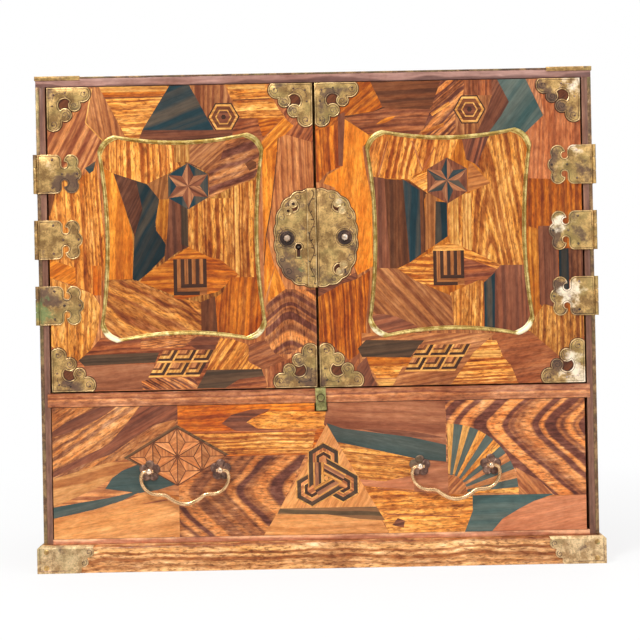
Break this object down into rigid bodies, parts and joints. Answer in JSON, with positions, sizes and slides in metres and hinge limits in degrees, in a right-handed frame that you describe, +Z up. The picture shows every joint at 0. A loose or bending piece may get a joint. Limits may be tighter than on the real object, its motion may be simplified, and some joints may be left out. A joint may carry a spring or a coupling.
{
  "type": "tabletop cabinet",
  "caption": "Tabletop cabinet with a pair of hinged, lockable marquetry doors over a long drawer, with inner drawers, brass mounts and a low plinth.",
  "frame": {"origin": "under the middle of the cabinet's box, on the surface it stands on", "axes": "+Z up, +X to the right seen from the front, the doors face -Y"},
  "size_m": [0.4002, 0.2294, 0.3502],
  "materials": {
    "carcass_wood": "worn satin lacquer",
    "rail_wood": "worn satin lacquer",
    "plinth_wood": "worn satin lacquer",
    "plain_wood": "bare and matt",
    "marquetry": "lacquered veneers of many woods",
    "inner_drawer_wood": "satin lacquer",
    "aged_brass": "aged and worn",
    "bead_brass": "rubbed bright",
    "dark_brass": "darkened",
    "bail_brass": "rubbed, coppery",
    "button_brass": "green with age",
    "lock_metal": "dull"
  },
  "bodies": {
    "case": {"case_top": "carcass_wood", "case_bottom": "carcass_wood", "case_side_left": "carcass_wood", "case_side_right": "carcass_wood", "case_back": "plain_wood", "shelf_rail": "rail_wood", "shelf_board": "plain_wood", "plinth_front": "plinth_wood", "plinth_back": "plinth_wood", "plinth_left": "plinth_wood", "plinth_right": "plinth_wood", "plinth_corner_mounts": "aged_brass", "corner_straps": "aged_brass", "edge_strips": "aged_brass", "hinge_case_leaves": "aged_brass", "hinge_pins": "dark_brass", "case_nails": "dark_brass", "turn_button_rivet": "button_brass", "nest_sides": "plain_wood", "inner_divider": "plain_wood", "inner_shelves": "plain_wood"},
    "left_door": {"left_door_board": "marquetry", "left_door_panel": "marquetry", "left_door_bead": "bead_brass", "left_door_corner_mounts": "aged_brass", "left_hinge_leaves": "aged_brass", "left_lock_plate": "aged_brass", "astragal_strip": "aged_brass", "left_door_pull": "dark_brass", "left_door_nails": "dark_brass", "lock_case": "lock_metal"},
    "right_door": {"right_door_board": "marquetry", "right_door_panel": "marquetry", "right_door_bead": "bead_brass", "right_door_corner_mounts": "aged_brass", "right_hinge_leaves": "aged_brass", "right_lock_plate": "aged_brass", "right_door_pull": "dark_brass", "right_door_nails": "dark_brass", "lock_keeper": "lock_metal"},
    "lock_bolt": {"lock_bolt": "lock_metal"},
    "turn_button": {"turn_button": "button_brass"},
    "long_drawer": {"drawer_front": "marquetry", "drawer_side_left": "plain_wood", "drawer_side_right": "plain_wood", "drawer_back": "plain_wood", "drawer_bottom": "plain_wood", "pull_rosettes": "dark_brass", "pull_posts": "dark_brass"},
    "left_bail": {"bail_left": "bail_brass"},
    "right_bail": {"bail_right": "bail_brass"},
    "lower_left_drawer": {"inner_drawer_lower_left": "inner_drawer_wood", "inner_knob_lower_left": "dark_brass"},
    "upper_left_drawer": {"inner_drawer_upper_left": "inner_drawer_wood", "inner_knob_upper_left": "dark_brass"},
    "lower_right_drawer": {"inner_drawer_lower_right": "inner_drawer_wood", "inner_knob_lower_right": "dark_brass"},
    "upper_right_drawer": {"inner_drawer_upper_right": "inner_drawer_wood", "inner_knob_upper_right": "dark_brass"}
  },
  "joints": [
    {"name": "left_door_hinge", "type": "hinge", "parent": "case", "child": "left_door", "pos_m": [-0.1971, -0.10837, 0.2347], "axis": [0, 0, -1], "range_deg": [0, 180]},
    {"name": "right_door_hinge", "type": "hinge", "parent": "case", "child": "right_door", "pos_m": [0.1971, -0.10837, 0.2347], "axis": [0, 0, 1], "range_deg": [0, 180]},
    {"name": "lock_bolt_throw", "type": "slide", "parent": "left_door", "child": "lock_bolt", "axis": [1, 0, 0], "range_m": [0, 0.006]},
    {"name": "turn_button_turn", "type": "hinge", "parent": "case", "child": "turn_button", "pos_m": [0.0013, -0.10917, 0.12003], "axis": [0, 1, 0], "range_deg": [-90, 90]},
    {"name": "long_drawer_slide", "type": "slide", "parent": "case", "child": "long_drawer", "axis": [0, -1, 0], "range_m": [0, 0.15]},
    {"name": "left_bail_swing", "type": "hinge", "parent": "long_drawer", "child": "left_bail", "pos_m": [-0.0952, -0.11247, 0.0705], "axis": [-1, 0, 0], "range_deg": [-8, 165]},
    {"name": "right_bail_swing", "type": "hinge", "parent": "long_drawer", "child": "right_bail", "pos_m": [0.0952, -0.11247, 0.0705], "axis": [-1, 0, 0], "range_deg": [-8, 165]},
    {"name": "lower_left_drawer_slide", "type": "slide", "parent": "case", "child": "lower_left_drawer", "axis": [0, -1, 0], "range_m": [0, 0.082]},
    {"name": "upper_left_drawer_slide", "type": "slide", "parent": "case", "child": "upper_left_drawer", "axis": [0, -1, 0], "range_m": [0, 0.063]},
    {"name": "lower_right_drawer_slide", "type": "slide", "parent": "case", "child": "lower_right_drawer", "axis": [0, -1, 0], "range_m": [0, 0.082]},
    {"name": "upper_right_drawer_slide", "type": "slide", "parent": "case", "child": "upper_right_drawer", "axis": [0, -1, 0], "range_m": [0, 0.063]}
  ],
  "couplings": [
    {"joint": "lower_left_drawer_slide", "follows": "left_door_hinge", "m_per_rad": 0.026},
    {"joint": "upper_left_drawer_slide", "follows": "left_door_hinge", "m_per_rad": 0.02},
    {"joint": "lower_right_drawer_slide", "follows": "right_door_hinge", "m_per_rad": 0.026},
    {"joint": "upper_right_drawer_slide", "follows": "right_door_hinge", "m_per_rad": 0.02}
  ]
}
